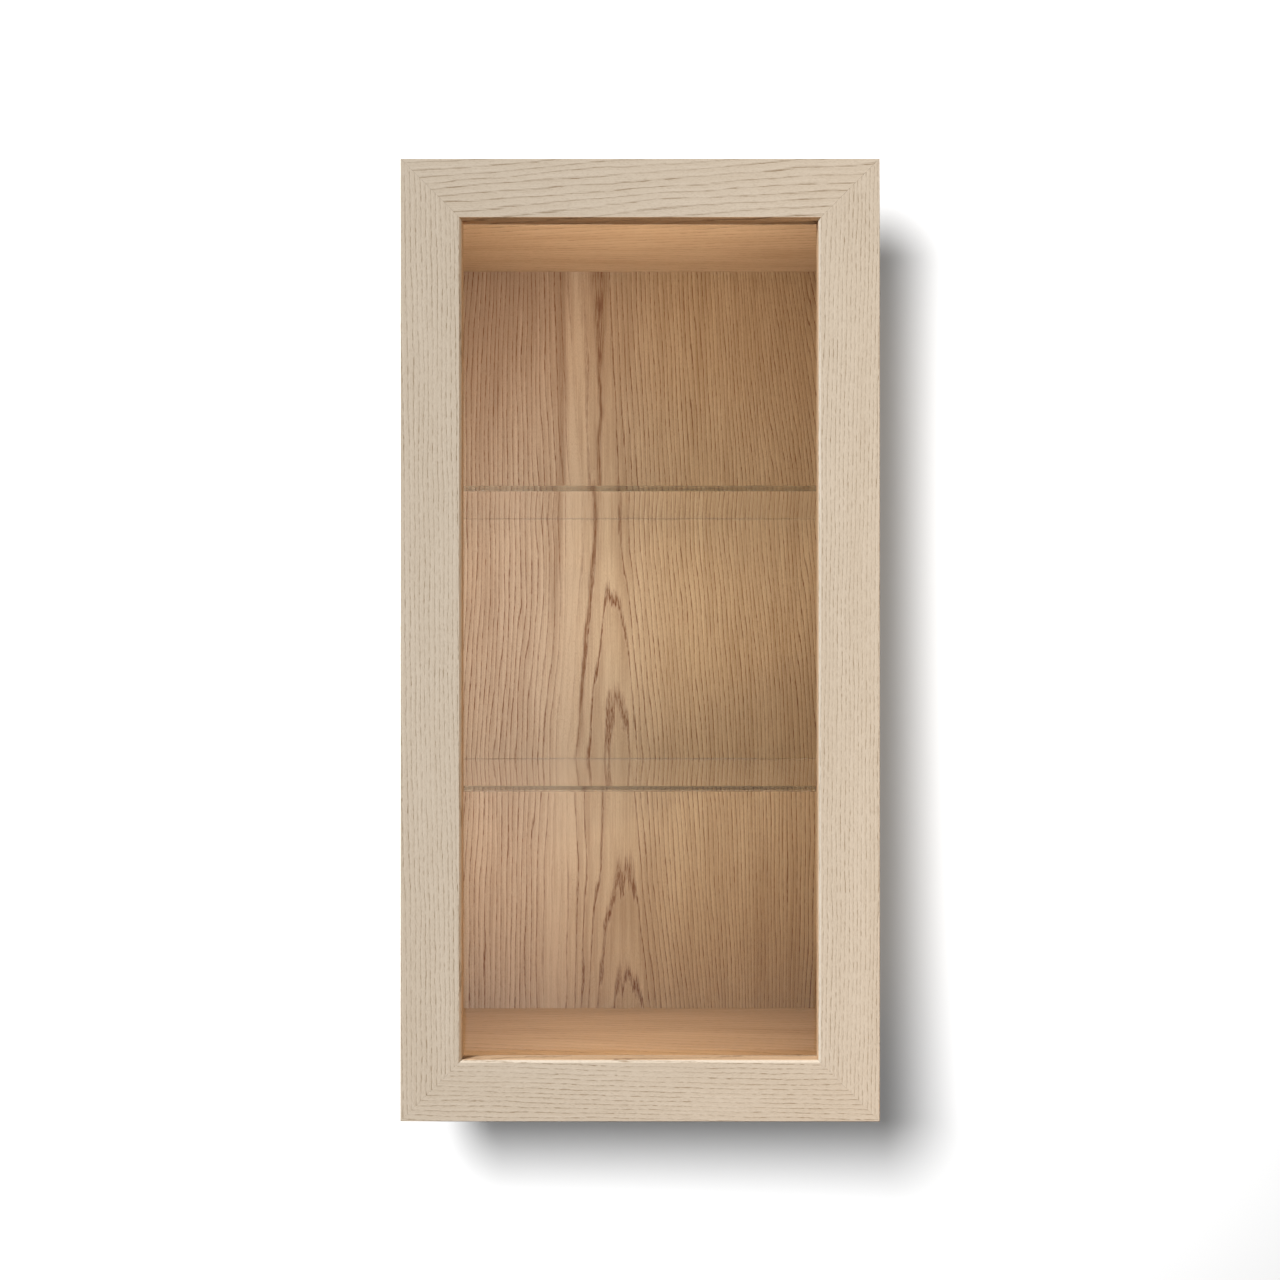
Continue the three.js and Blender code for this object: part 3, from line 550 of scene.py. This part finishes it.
# The back's crown-cut figure in millimetres, from the panel's middle and the cabinet's base.
# Pairs of numbers say where something starts and where it is complete.
BACK_PITCH = 5.6
CROWN_TIPS = (-50.0, 68.0, 187.0, 424.0, 549.0)
CROWN_AXIS = {"at_base": -7.0, "lean": -0.047}
CROWN_FLANK = {"left_low": 125.0, "left_high": 80.0, "right": 22.0}
ABOVE_CROWNS = {"length": 70.0, "years": 0.55}
TIP = {"notch": 0.9, "notch_width": 7.0, "fringe": 3.0, "fringe_width": 19.0}
FRAYED = {"width": 1.1, "length": 30.0, "slice": 9.0, "detail": 3.0}
BULGE = 0.00015
BULGE_RIGHT = {"across": (70.0, 225.0), "level": 500.0}
BULGE_LEFT = {"across": (-100.0, -225.0), "level": 600.0}
CALM = {"near_axis": (8.0, 60.0), "wander": 13.0}

STREAK = {
    "place": -53.0, "lean": -0.083, "turns_at": 720.0, "height": (300.0, 440.0),
    "sway": 10.0, "sway_length": 60.0, "slice": 5.0,
    "width": 2.4, "top_width": 7.5, "widens": (850.0, 980.0), "tone": 0.9,
}
DRIFT = 0.6 * STREAK["lean"]
STRIPE = {"place": -81.0, "width": 16.0, "tone": -0.40}
SHADE = {"place": -103.0, "width": 5.0, "height": (420.0, 760.0), "threads": 0.35}
# Painted shade in the back panel's upper left corner
PAINTED_CORNER_SHADE = {"across": (-70.0, -200.0), "height": (620.0, 900.0), "tone": 0.45}
# Painted shade towards the back panel's top, where the case's top and the door's top rail shade it
PAINTED_TOP_SHADE = {"height": (780.0, 980.0), "tone": 0.22}

BACK_LOOK = {
    "pitch": BACK_PITCH, "seed": 5.0, "contrast": 1.0, "scatter": 0.30, "width": 0.31,
    "ripple": 5.0, "ripple_size": (9.0, 150.0), "pore_size": (0.9, 10.0),
    "tone": 1.2, "fibre": 1.8, "solid": 0.45, "summer": 0.4, "strong_from": 0.75,
}
BACK_GREYISH = {"ground": (0.600, 0.432, 0.295), "band": (0.430, 0.283, 0.180)}
BACK_GOLDEN = {"ground": (0.600, 0.408, 0.226), "band": (0.420, 0.258, 0.127)}
BACK_PORE = (0.190, 0.070, 0.028)
GOLDEN_ACROSS = (-190.0, 90.0)


def soft_line(shader, across, centre, spread):
    """1 on a line along the grain, fading out to both sides of it."""
    off = shader.math("DIVIDE", shader.math("SUBTRACT", across, centre), spread)
    return shader.math("EXPONENT", shader.times(off, off, -1.0))


def bulging_edges(shader, across, height):
    """The outer lines bulge outward: all the way on the right, in the upper part on the left."""
    right = shader.math("SUBTRACT", height, BULGE_RIGHT["level"])
    left = shader.math("MAXIMUM", shader.math("SUBTRACT", height, BULGE_LEFT["level"]), 0.0)
    return shader.total(
        shader.times(shader.steps(across, *BULGE_RIGHT["across"]), right, right, BULGE),
        shader.times(shader.steps(across, *BULGE_LEFT["across"]), left, left, BULGE),
    )


def crown_flank(shader, from_axis, height):
    """How wide the crowns are: broad on the left, narrower higher up, and steep on the right."""
    rise = shader.ramp(height, CROWN_TIPS[2], CROWN_TIPS[4])
    narrower = CROWN_FLANK["left_high"] - CROWN_FLANK["left_low"]
    left = shader.total(CROWN_FLANK["left_low"], shader.times(rise, narrower))
    on_left = shader.math("LESS_THAN", from_axis, 0.0)
    right = CROWN_FLANK["right"]
    return shader.total(right, shader.times(on_left, shader.total(left, -right)))


def crown_rings(shader, across, height, from_axis):
    """The ring coordinate of nested crowns, whose tips are notched and frayed."""
    above = shader.ramp(height, CROWN_TIPS[-1], CROWN_TIPS[-1] + ABOVE_CROWNS["length"])
    growth = shader.times(above, ABOVE_CROWNS["years"])
    for low, high in zip(CROWN_TIPS, CROWN_TIPS[1:]):
        growth = shader.total(growth, shader.ramp(height, low, high))
    flank = crown_flank(shader, from_axis, height)
    reach = shader.math(
        "SQRT", shader.total(shader.times(from_axis, from_axis), shader.times(flank, flank))
    )
    frayed = shader.noise(
        shader.vector(
            shader.times(across, 1.0 / FRAYED["width"]),
            FRAYED["slice"],
            shader.times(height, 1.0 / FRAYED["length"]),
        ),
        detail=FRAYED["detail"],
    )
    return shader.total(
        shader.math("SUBTRACT", reach, flank),
        shader.times(growth, BACK_PITCH),
        bulging_edges(shader, across, height),
        shader.times(soft_line(shader, from_axis, 0.0, TIP["notch_width"]), TIP["notch"]),
        shader.times(
            shader.sway(frayed, TIP["fringe"]),
            soft_line(shader, from_axis, 0.0, TIP["fringe_width"]),
        ),
    )


def dark_streak(shader, across, height, fall):
    """A streak that sways, widens at its top, and leans to the left below its turning place."""
    wave = shader.noise(
        shader.vector(0.0, STREAK["slice"], shader.times(height, 1.0 / STREAK["sway_length"]))
    )
    centre = shader.total(
        STREAK["place"], shader.times(fall, STREAK["lean"]), shader.sway(wave, STREAK["sway"])
    )
    spread = shader.total(
        STREAK["width"],
        shader.times(shader.ramp(height, *STREAK["widens"]), STREAK["top_width"]),
    )
    return shader.times(
        soft_line(shader, across, centre, spread), shader.steps(height, *STREAK["height"])
    )


def back_tones(shader, across):
    """The ground turns from greyish on the left to golden on the right."""
    golden = shader.steps(across, *GOLDEN_ACROSS)
    tones = {key: shader.mix(golden, BACK_GREYISH[key], BACK_GOLDEN[key]) for key in BACK_GREYISH}
    return {**tones, "pore": BACK_PORE}


def back_panel_oak():
    """Nested crowns with a broad left flank, a dark streak and a clear pale stripe, and painted
    shade darkening the upper part and the upper left corner.
    """
    shader = Shader("back panel oak")
    place = grain_axes(shader, "x", "z")
    across = place[0]
    height = shader.math("SUBTRACT", place[2], BASE * PER_METRE)
    axis = shader.total(CROWN_AXIS["at_base"], shader.times(height, CROWN_AXIS["lean"]))
    from_axis = shader.math("SUBTRACT", across, axis)
    rings = crown_rings(shader, across, height, from_axis)

    fall = shader.math("MAXIMUM", shader.math("SUBTRACT", STREAK["turns_at"], height), 0.0)
    drift = shader.times(fall, DRIFT)
    streak = dark_streak(shader, across, height, fall)
    stripe = soft_line(shader, across, shader.total(STRIPE["place"], drift), STRIPE["width"])
    shade = shader.times(
        soft_line(shader, across, shader.total(SHADE["place"], drift), SHADE["width"]),
        shader.steps(height, *SHADE["height"]),
    )
    # Painted shade: the upper left corner of the back panel is darkened
    corner = shader.times(
        shader.steps(across, *PAINTED_CORNER_SHADE["across"]),
        shader.steps(height, *PAINTED_CORNER_SHADE["height"]),
    )
    calm = shader.steps(shader.math("ABSOLUTE", from_axis), *CALM["near_axis"])
    look = {
        **BACK_LOOK,
        "wander": shader.times(calm, CALM["wander"]),
        "calm_stripe": stripe,
        "streaks": shader.total(streak, shader.times(shade, SHADE["threads"])),
        "figure_and_painted_shade": shader.total(
            shader.times(streak, STREAK["tone"]),
            shader.times(stripe, STRIPE["tone"]),
            shade,
            shader.times(corner, PAINTED_CORNER_SHADE["tone"]),
            # Painted shade: darker towards the top
            shader.times(shader.steps(height, *PAINTED_TOP_SHADE["height"]), PAINTED_TOP_SHADE["tone"]),
        ),
    }
    tones = back_tones(shader, across)
    paint_node("back_panel", oak_surface(shader, place, rings, tones, look))


# --- Glass, fittings and small parts ----------------------------------------------------


DOOR_GLASS = {"tint": (0.985, 0.99, 0.985), "ior": 1.25}
SHELF_GLASS = {"tint": (0.985, 0.99, 0.985), "ior": 1.5}
SHELF_EDGE_GLASS = {"tint": (0.97, 0.98, 0.965), "ior": 1.5}

SHELF_CORNER = {"offset": 1.5 * MM, "segments": 6}
SHELF_ARRIS = {"offset": 0.2 * MM, "segments": 2}
STEEP = math.radians(60)

SPRING = {"wire": 0.42 * MM, "turns": 9, "steps": 32, "sides": 10, "travel": 2.8 * MM}
CLOSED_TURN = 2.1 * SPRING["wire"]

EASE_OAK = 0.25 * MM
EASE_METAL = 0.15 * MM
EASE_PLASTIC = 0.2 * MM


def polished_shelf(node, material, edge_material):
    """A shelf with rounded corners and fine polished arrises, in its CAD solid's place."""
    low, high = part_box(node)
    shape = bmesh.new()
    bmesh.ops.create_cube(shape, size=1.0)
    for vertex in shape.verts:
        vertex.co = [
            (a + b) / 2 + part * (b - a) for a, b, part in zip(low, high, vertex.co)
        ]
    arris = SHELF_ARRIS["offset"]
    bevel = {"affect": "EDGES", "profile": 0.5, "clamp_overlap": True}
    upright = [e for e in shape.edges if abs(e.verts[0].co.z - e.verts[1].co.z) > arris]
    bmesh.ops.bevel(shape, geom=upright, **SHELF_CORNER, **bevel)
    # The rim at the back stays plain
    rim = [
        edge for edge in shape.edges
        if edge.calc_face_angle(0.0) > STEEP
        and min(vertex.co.y for vertex in edge.verts) < high[1] - arris
    ]
    bmesh.ops.bevel(shape, geom=rim, **SHELF_ARRIS, **bevel)
    shape.normal_update()
    for face in shape.faces:
        face.material_index = int(abs(face.normal.z) < math.cos(STEEP))
    made = new_piece(f"polished_{node}", shape, material, "cabinet")
    made.data.materials.append(edge_material)
    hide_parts(node)


def glazing():
    paint_node("door_glass", glass("door glass", **DOOR_GLASS))
    material = glass("shelf glass", **SHELF_GLASS)
    edge_material = glass("shelf edge glass", **SHELF_EDGE_GLASS)
    for level in ("lower", "upper"):
        polished_shelf(f"glass_shelf_{level}", material, edge_material)


def fittings():
    steel = metal("nickel-plated steel", colour=(0.62, 0.61, 0.59), roughness=0.3, grain=6.0)
    zinc = metal("zinc-plated steel", colour=(0.70, 0.71, 0.73), roughness=0.34, grain=3.0)
    spring = metal("spring steel", colour=(0.42, 0.43, 0.45), roughness=0.36, grain=8.0)
    black = moulded("black plastic", colour=(0.018, 0.018, 0.020), roughness=0.42, grain=2.2)
    rubber = moulded("pale rubber", colour=(0.62, 0.62, 0.60), roughness=0.55, grain=3.0)
    plywood = oak(
        "birch plywood", "x", "z", PLYWOOD, pith=(0, 400), taper=0.01, pitch=1.4, seed=900
    )
    choices = {
        "latch_spring": spring,
        "latch_housing": black,
        "latch_plunger": black,
        "strike_plate": steel,
        "door_buffer_top": rubber,
        "door_buffer_bottom": rubber,
    }
    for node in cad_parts:
        if "_screw" in node:
            choices[node] = zinc
        elif "_key_" in node:
            choices[node] = plywood
        elif node.startswith(("hinge_", "shelf_pin_")):
            choices[node] = steel
    for node, material in choices.items():
        paint_node(node, material)
    round_wire_spring(spring)


def spring_place(turn, length):
    """How far along the spring a turn lies: the first and last turns are closed."""
    if turn < 1:
        return turn * CLOSED_TURN
    if turn > SPRING["turns"] - 1:
        return length - (SPRING["turns"] - turn) * CLOSED_TURN
    return CLOSED_TURN + (turn - 1) * (length - 2 * CLOSED_TURN) / (SPRING["turns"] - 2)


def round_wire_spring(material):
    """The latch's spring as a fine coil of round wire."""
    low, high = (Vector(corner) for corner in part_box("latch_spring"))
    wire = SPRING["wire"]
    centre = (low + high) / 2
    radius = (high.x - low.x) / 2 - wire
    length = high.y - low.y - 2 * wire
    corners = [2 * math.pi * side / SPRING["sides"] for side in range(SPRING["sides"])]
    shape = bmesh.new()
    rings = []
    for step in range(SPRING["turns"] * SPRING["steps"] + 1):
        turn = step / SPRING["steps"]
        angle = 2 * math.pi * turn
        outward = Vector((math.cos(angle), 0.0, math.sin(angle)))
        place = Vector((centre.x, low.y + wire + spring_place(turn, length), centre.z))
        rings.append([
            shape.verts.new(
                place + outward * (radius + wire * math.cos(corner))
                + Vector((0.0, wire * math.sin(corner), 0.0))
            )
            for corner in corners
        ])
    for near, far in zip(rings, rings[1:]):
        for side in range(SPRING["sides"]):
            after = (side + 1) % SPRING["sides"]
            shape.faces.new((near[side], near[after], far[after], far[side]))
    shape.faces.new(reversed(rings[0]))
    shape.faces.new(rings[-1])
    bmesh.ops.recalc_face_normals(shape, faces=shape.faces)
    made = new_piece("coiled_latch_spring", shape, material, "cabinet")
    made.data.shade_smooth()
    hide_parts("latch_spring")
    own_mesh(made)


def eased_edges():
    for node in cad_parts:
        if "oak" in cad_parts[node].material_slots[0].material.name:
            soften(node, EASE_OAK, smooth=False)
        elif node.startswith(("hinge_", "shelf_pin_", "latch_housing", "strike_plate")):
            soften(node, EASE_METAL, smooth=True)
        elif node.startswith(("latch_", "door_buffer_")):
            soften(node, EASE_PLASTIC, smooth=True)


# --- Studio -----------------------------------------------------------------------------


STUDIO_HALF_WIDTH = 6.0
STUDIO_DEPTH = 9.0
FLOOR_DROP = 0.45
WALL_HEIGHT = 5.0
WALL_GAP = 0.5 * MM
STUDIO_WHITE = (0.9, 0.9, 0.9, 1.0)

# The world's strength as a light, and as the background that is seen
WORLD_LIGHT = 0.08
WORLD_SEEN = 0.85

SUBJECT = (0.0, DOOR_FRONT, MIDDLE)
BEHIND_FRAME = DOOR_BACK + 8 * MM
INSIDE = DOOR_BACK + 75 * MM
POOL_OFFSET = 0.22

# The lamps: places and sizes in metres, and powers in watts, or W/m2 for a sun. lights names the
# group of objects that a lamp is for.
LAMPS = {
    # Soft light from the upper left, and a warmer, weaker one from the right
    "key": {
        "kind": "SUN", "power": 5.2, "place": (-2.05, -1.9, MIDDLE + 2.1),
        "angle": math.radians(14), "lights": "outside",
    },
    "right": {
        "kind": "AREA", "power": 25.0, "place": (1.9, -2.3, MIDDLE), "size": (1.0, 1.8),
        "color": (1.0, 0.84, 0.66), "lights": "showcase",
    },
    # A glow inside the case, and a cooler one at the back panel's left edge
    "inner glow": {
        "kind": "AREA", "power": 1.45, "place": (0.02, BEHIND_FRAME, MIDDLE), "size": (0.36, 0.80),
        "target": (0.04, WALL, MIDDLE), "color": (1.0, 0.98, 0.93), "lights": "showcase",
    },
    "inner edge": {
        "kind": "AREA", "power": 0.7, "place": (-0.21, BEHIND_FRAME, MIDDLE - 0.08),
        "size": (0.02, 0.70), "target": (-0.1, WALL, MIDDLE - 0.08), "color": (0.86, 1.0, 1.16),
        "lights": "back panel",
    },
    # Light for the sides and the rear, which the camera doesn't see
    "left side": {
        "kind": "AREA", "power": 26.0, "place": (-2.4, 0.9, MIDDLE + 0.4), "size": (1.5, 2.0),
        "lights": "showcase",
    },
    "right side": {
        "kind": "AREA", "power": 22.0, "place": (2.4, 0.9, MIDDLE + 0.4), "size": (1.5, 2.0),
        "lights": "showcase",
    },
    "rear": {
        "kind": "AREA", "power": 30.0, "place": (0.6, 2.6, MIDDLE + 0.8), "size": (1.5, 1.5),
        "lights": "showcase",
    },
    # Warm light on the door's lips, from below and from the right
    "warm bounce": {
        "kind": "AREA", "power": 8.5, "place": (1.0, DOOR_FRONT - 0.1, BASE - 0.9),
        "size": (0.8, 0.8), "color": (1.0, 0.42, 0.10), "lights": "door",
    },
    "left lip": {
        "kind": "AREA", "power": 8.0, "place": (1.6, DOOR_FRONT - 0.5, MIDDLE),
        "size": (0.5, 1.2), "color": (1.0, 0.77, 0.57), "lights": "door",
    },
    # The one lamp that is mirrored, in the fittings alone
    "sparkle": {
        "kind": "AREA", "power": 14.0, "place": (1.3, -1.8, MIDDLE + 0.9), "size": (0.9, 0.9),
        "lights": "fittings", "mirrored": True,
    },
    # Soft pools on the ceiling and the floor of the case
    "inner top": {
        "kind": "AREA", "power": 0.51, "place": (0.0, INSIDE, MIDDLE + POOL_OFFSET),
        "size": (0.40, 0.10), "target": (0.0, INSIDE, MIDDLE + POOL_OFFSET + 1),
        "color": (1.0, 0.80, 0.58), "lights": "top",
    },
    "inner bottom": {
        "kind": "AREA", "power": 0.62, "place": (0.0, INSIDE, MIDDLE - POOL_OFFSET),
        "size": (0.40, 0.10), "target": (0.0, INSIDE, MIDDLE - POOL_OFFSET - 1),
        "color": (1.0, 0.80, 0.58), "lights": "bottom",
    },
    # The lamp that throws the showcase's shadow on the wall, and an even one that softens it
    "shadow": {
        "kind": "POINT", "power": 230.0,
        "place": (-0.27, DOOR_FRONT - CAMERA_DISTANCE, MIDDLE + 0.24),
        "shadow_soft_size": 0.25, "lights": "backdrop",
    },
    "flat": {
        "kind": "SUN", "power": 0.64, "place": (0.0, -3.0, MIDDLE + 3.0),
        "use_shadow": False, "lights": "backdrop",
    },
}

# Words in the names of the nodes that the key light leaves out, and of the fittings
SHADED = ("back_panel", "bottom_panel", "side_panel_right", "shelf", "plate", "arm", "latch")
FITTINGS = ("hinge_", "pin_", "latch_", "strike", "screw", "buffer")


def sheet_object(name, corners, material):
    mesh = bpy.data.meshes.new(name)
    shape = bmesh.new()
    shape.faces.new([shape.verts.new(corner) for corner in corners])
    shape.to_mesh(mesh)
    shape.free()
    made = bpy.data.objects.new(name, mesh)
    made.data.materials.append(material)
    bpy.context.scene.collection.objects.link(made)
    return made


def backdrop_paint():
    """White paint that is seen from its front only."""
    shader = Shader("backdrop paint")
    white = shader.node("ShaderNodeBsdfDiffuse", {"Color": STUDIO_WHITE}).outputs[0]
    nothing = shader.node("ShaderNodeBsdfTransparent").outputs[0]
    behind = shader.node("ShaderNodeNewGeometry").outputs["Backfacing"]
    mixed = shader.node("ShaderNodeMixShader", {0: behind, 1: white, 2: nothing})
    return shader.surface(mixed.outputs[0])


def studio_walls():
    """A white wall behind the showcase and a pale floor below it."""
    paint = backdrop_paint()
    side = STUDIO_HALF_WIDTH
    low = BASE - FLOOR_DROP
    wall_y = WALL + WALL_GAP
    wall = sheet_object(
        "studio_wall",
        [(-side, wall_y, low), (side, wall_y, low),
         (side, wall_y, WALL_HEIGHT), (-side, wall_y, WALL_HEIGHT)],
        paint,
    )
    floor = sheet_object(
        "studio_floor",
        [(-side, -STUDIO_DEPTH, low), (side, -STUDIO_DEPTH, low),
         (side, STUDIO_DEPTH, low), (-side, STUDIO_DEPTH, low)],
        paint,
    )
    # The backdrop only shows the shadow; it throws no light back at the showcase
    for item in (wall, floor):
        item.visible_diffuse = False
        item.visible_glossy = False
        item.visible_shadow = False
    return wall, floor


def lamp(name, kind, power, place, receivers, target=SUBJECT, size=None, mirrored=False, **settings):
    """A light that shines on its receivers alone and isn't seen itself, not even in the glass."""
    data = bpy.data.lights.new(name, kind)
    data.energy = power
    if size is not None:
        data.shape = "RECTANGLE"
        data.size, data.size_y = size
    for key, value in settings.items():
        setattr(data, key, value)
    made = bpy.data.objects.new(name, data)
    made.location = place
    bpy.context.scene.collection.objects.link(made)
    direction = Vector(target) - made.location
    made.rotation_euler = direction.to_track_quat("-Z", "Y").to_euler()
    made.visible_camera = False
    made.visible_glossy = mirrored
    made.visible_transmission = False
    made.light_linking.receiver_collection = receivers


def lit_groups(stage):
    """The groups of objects that the lamps are for, as collections."""
    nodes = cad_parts
    groups = {
        "outside": [nodes[name] for name in nodes if not any(word in name for word in SHADED)],
        "showcase": [item for item in bpy.data.objects if item.type == "MESH" and item not in stage],
        "back panel": [nodes["back_panel"]],
        "door": [nodes[name] for name in nodes if name.startswith(("door_", "glazing_"))],
        "fittings": [nodes[name] for name in nodes if any(word in name for word in FITTINGS)],
        "top": [nodes["top_panel"]],
        "bottom": [nodes["bottom_panel"]],
        "backdrop": stage,
    }
    collections = {}
    for group, items in groups.items():
        collections[group] = bpy.data.collections.new(f"lit {group}")
        for item in items:
            collections[group].objects.link(item)
    return collections


def studio_light(stage):
    collections = lit_groups(stage)
    for name, row in LAMPS.items():
        settings = {key: value for key, value in row.items() if key != "lights"}
        lamp(name, receivers=collections[row["lights"]], **settings)


def studio_world():
    """Weak even light, with a background that is bright to the eye, also through glass."""
    world = bpy.data.worlds.new("studio")
    bpy.context.scene.world = world
    world.use_nodes = True
    sky = Nodes(world.node_tree)
    ray = sky.node("ShaderNodeLightPath").outputs
    turned = sky.total(ray["Diffuse Depth"], ray["Glossy Depth"])
    straight = sky.math("LESS_THAN", turned, 0.5)
    through = sky.times(ray["Is Transmission Ray"], straight)
    seen = sky.math("MAXIMUM", ray["Is Camera Ray"], through)
    strength = sky.node(
        "ShaderNodeMapRange", {"Value": seen, "To Min": WORLD_LIGHT, "To Max": WORLD_SEEN}
    )
    background = sky.tree.nodes["Background"].inputs
    sky.feed(background["Color"], (1.0, 1.0, 1.0, 1.0))
    sky.feed(background["Strength"], strength.outputs["Result"])


def light_paths():
    """Enough bounces for light that is guided along inside the shelves to come out again."""
    paths = bpy.context.scene.cycles
    paths.glossy_bounces = 12
    paths.transmission_bounces = 16
    paths.max_bounces = 20


def camera():
    data = bpy.data.cameras.new("camera")
    data.lens = LENS
    data.sensor_width = SENSOR
    made = bpy.data.objects.new("camera", data)
    made.location = (0.0, DOOR_FRONT - CAMERA_DISTANCE, MIDDLE)
    made.rotation_euler = (math.radians(90), 0.0, 0.0)
    bpy.context.scene.collection.objects.link(made)
    bpy.context.scene.camera = made


camera()
door_oak()
carcass_oak()
back_panel_oak()
glazing()
fittings()
eased_edges()
studio_world()
studio_light(studio_walls())
bpy.context.scene.view_settings.view_transform = "Standard"
light_paths()
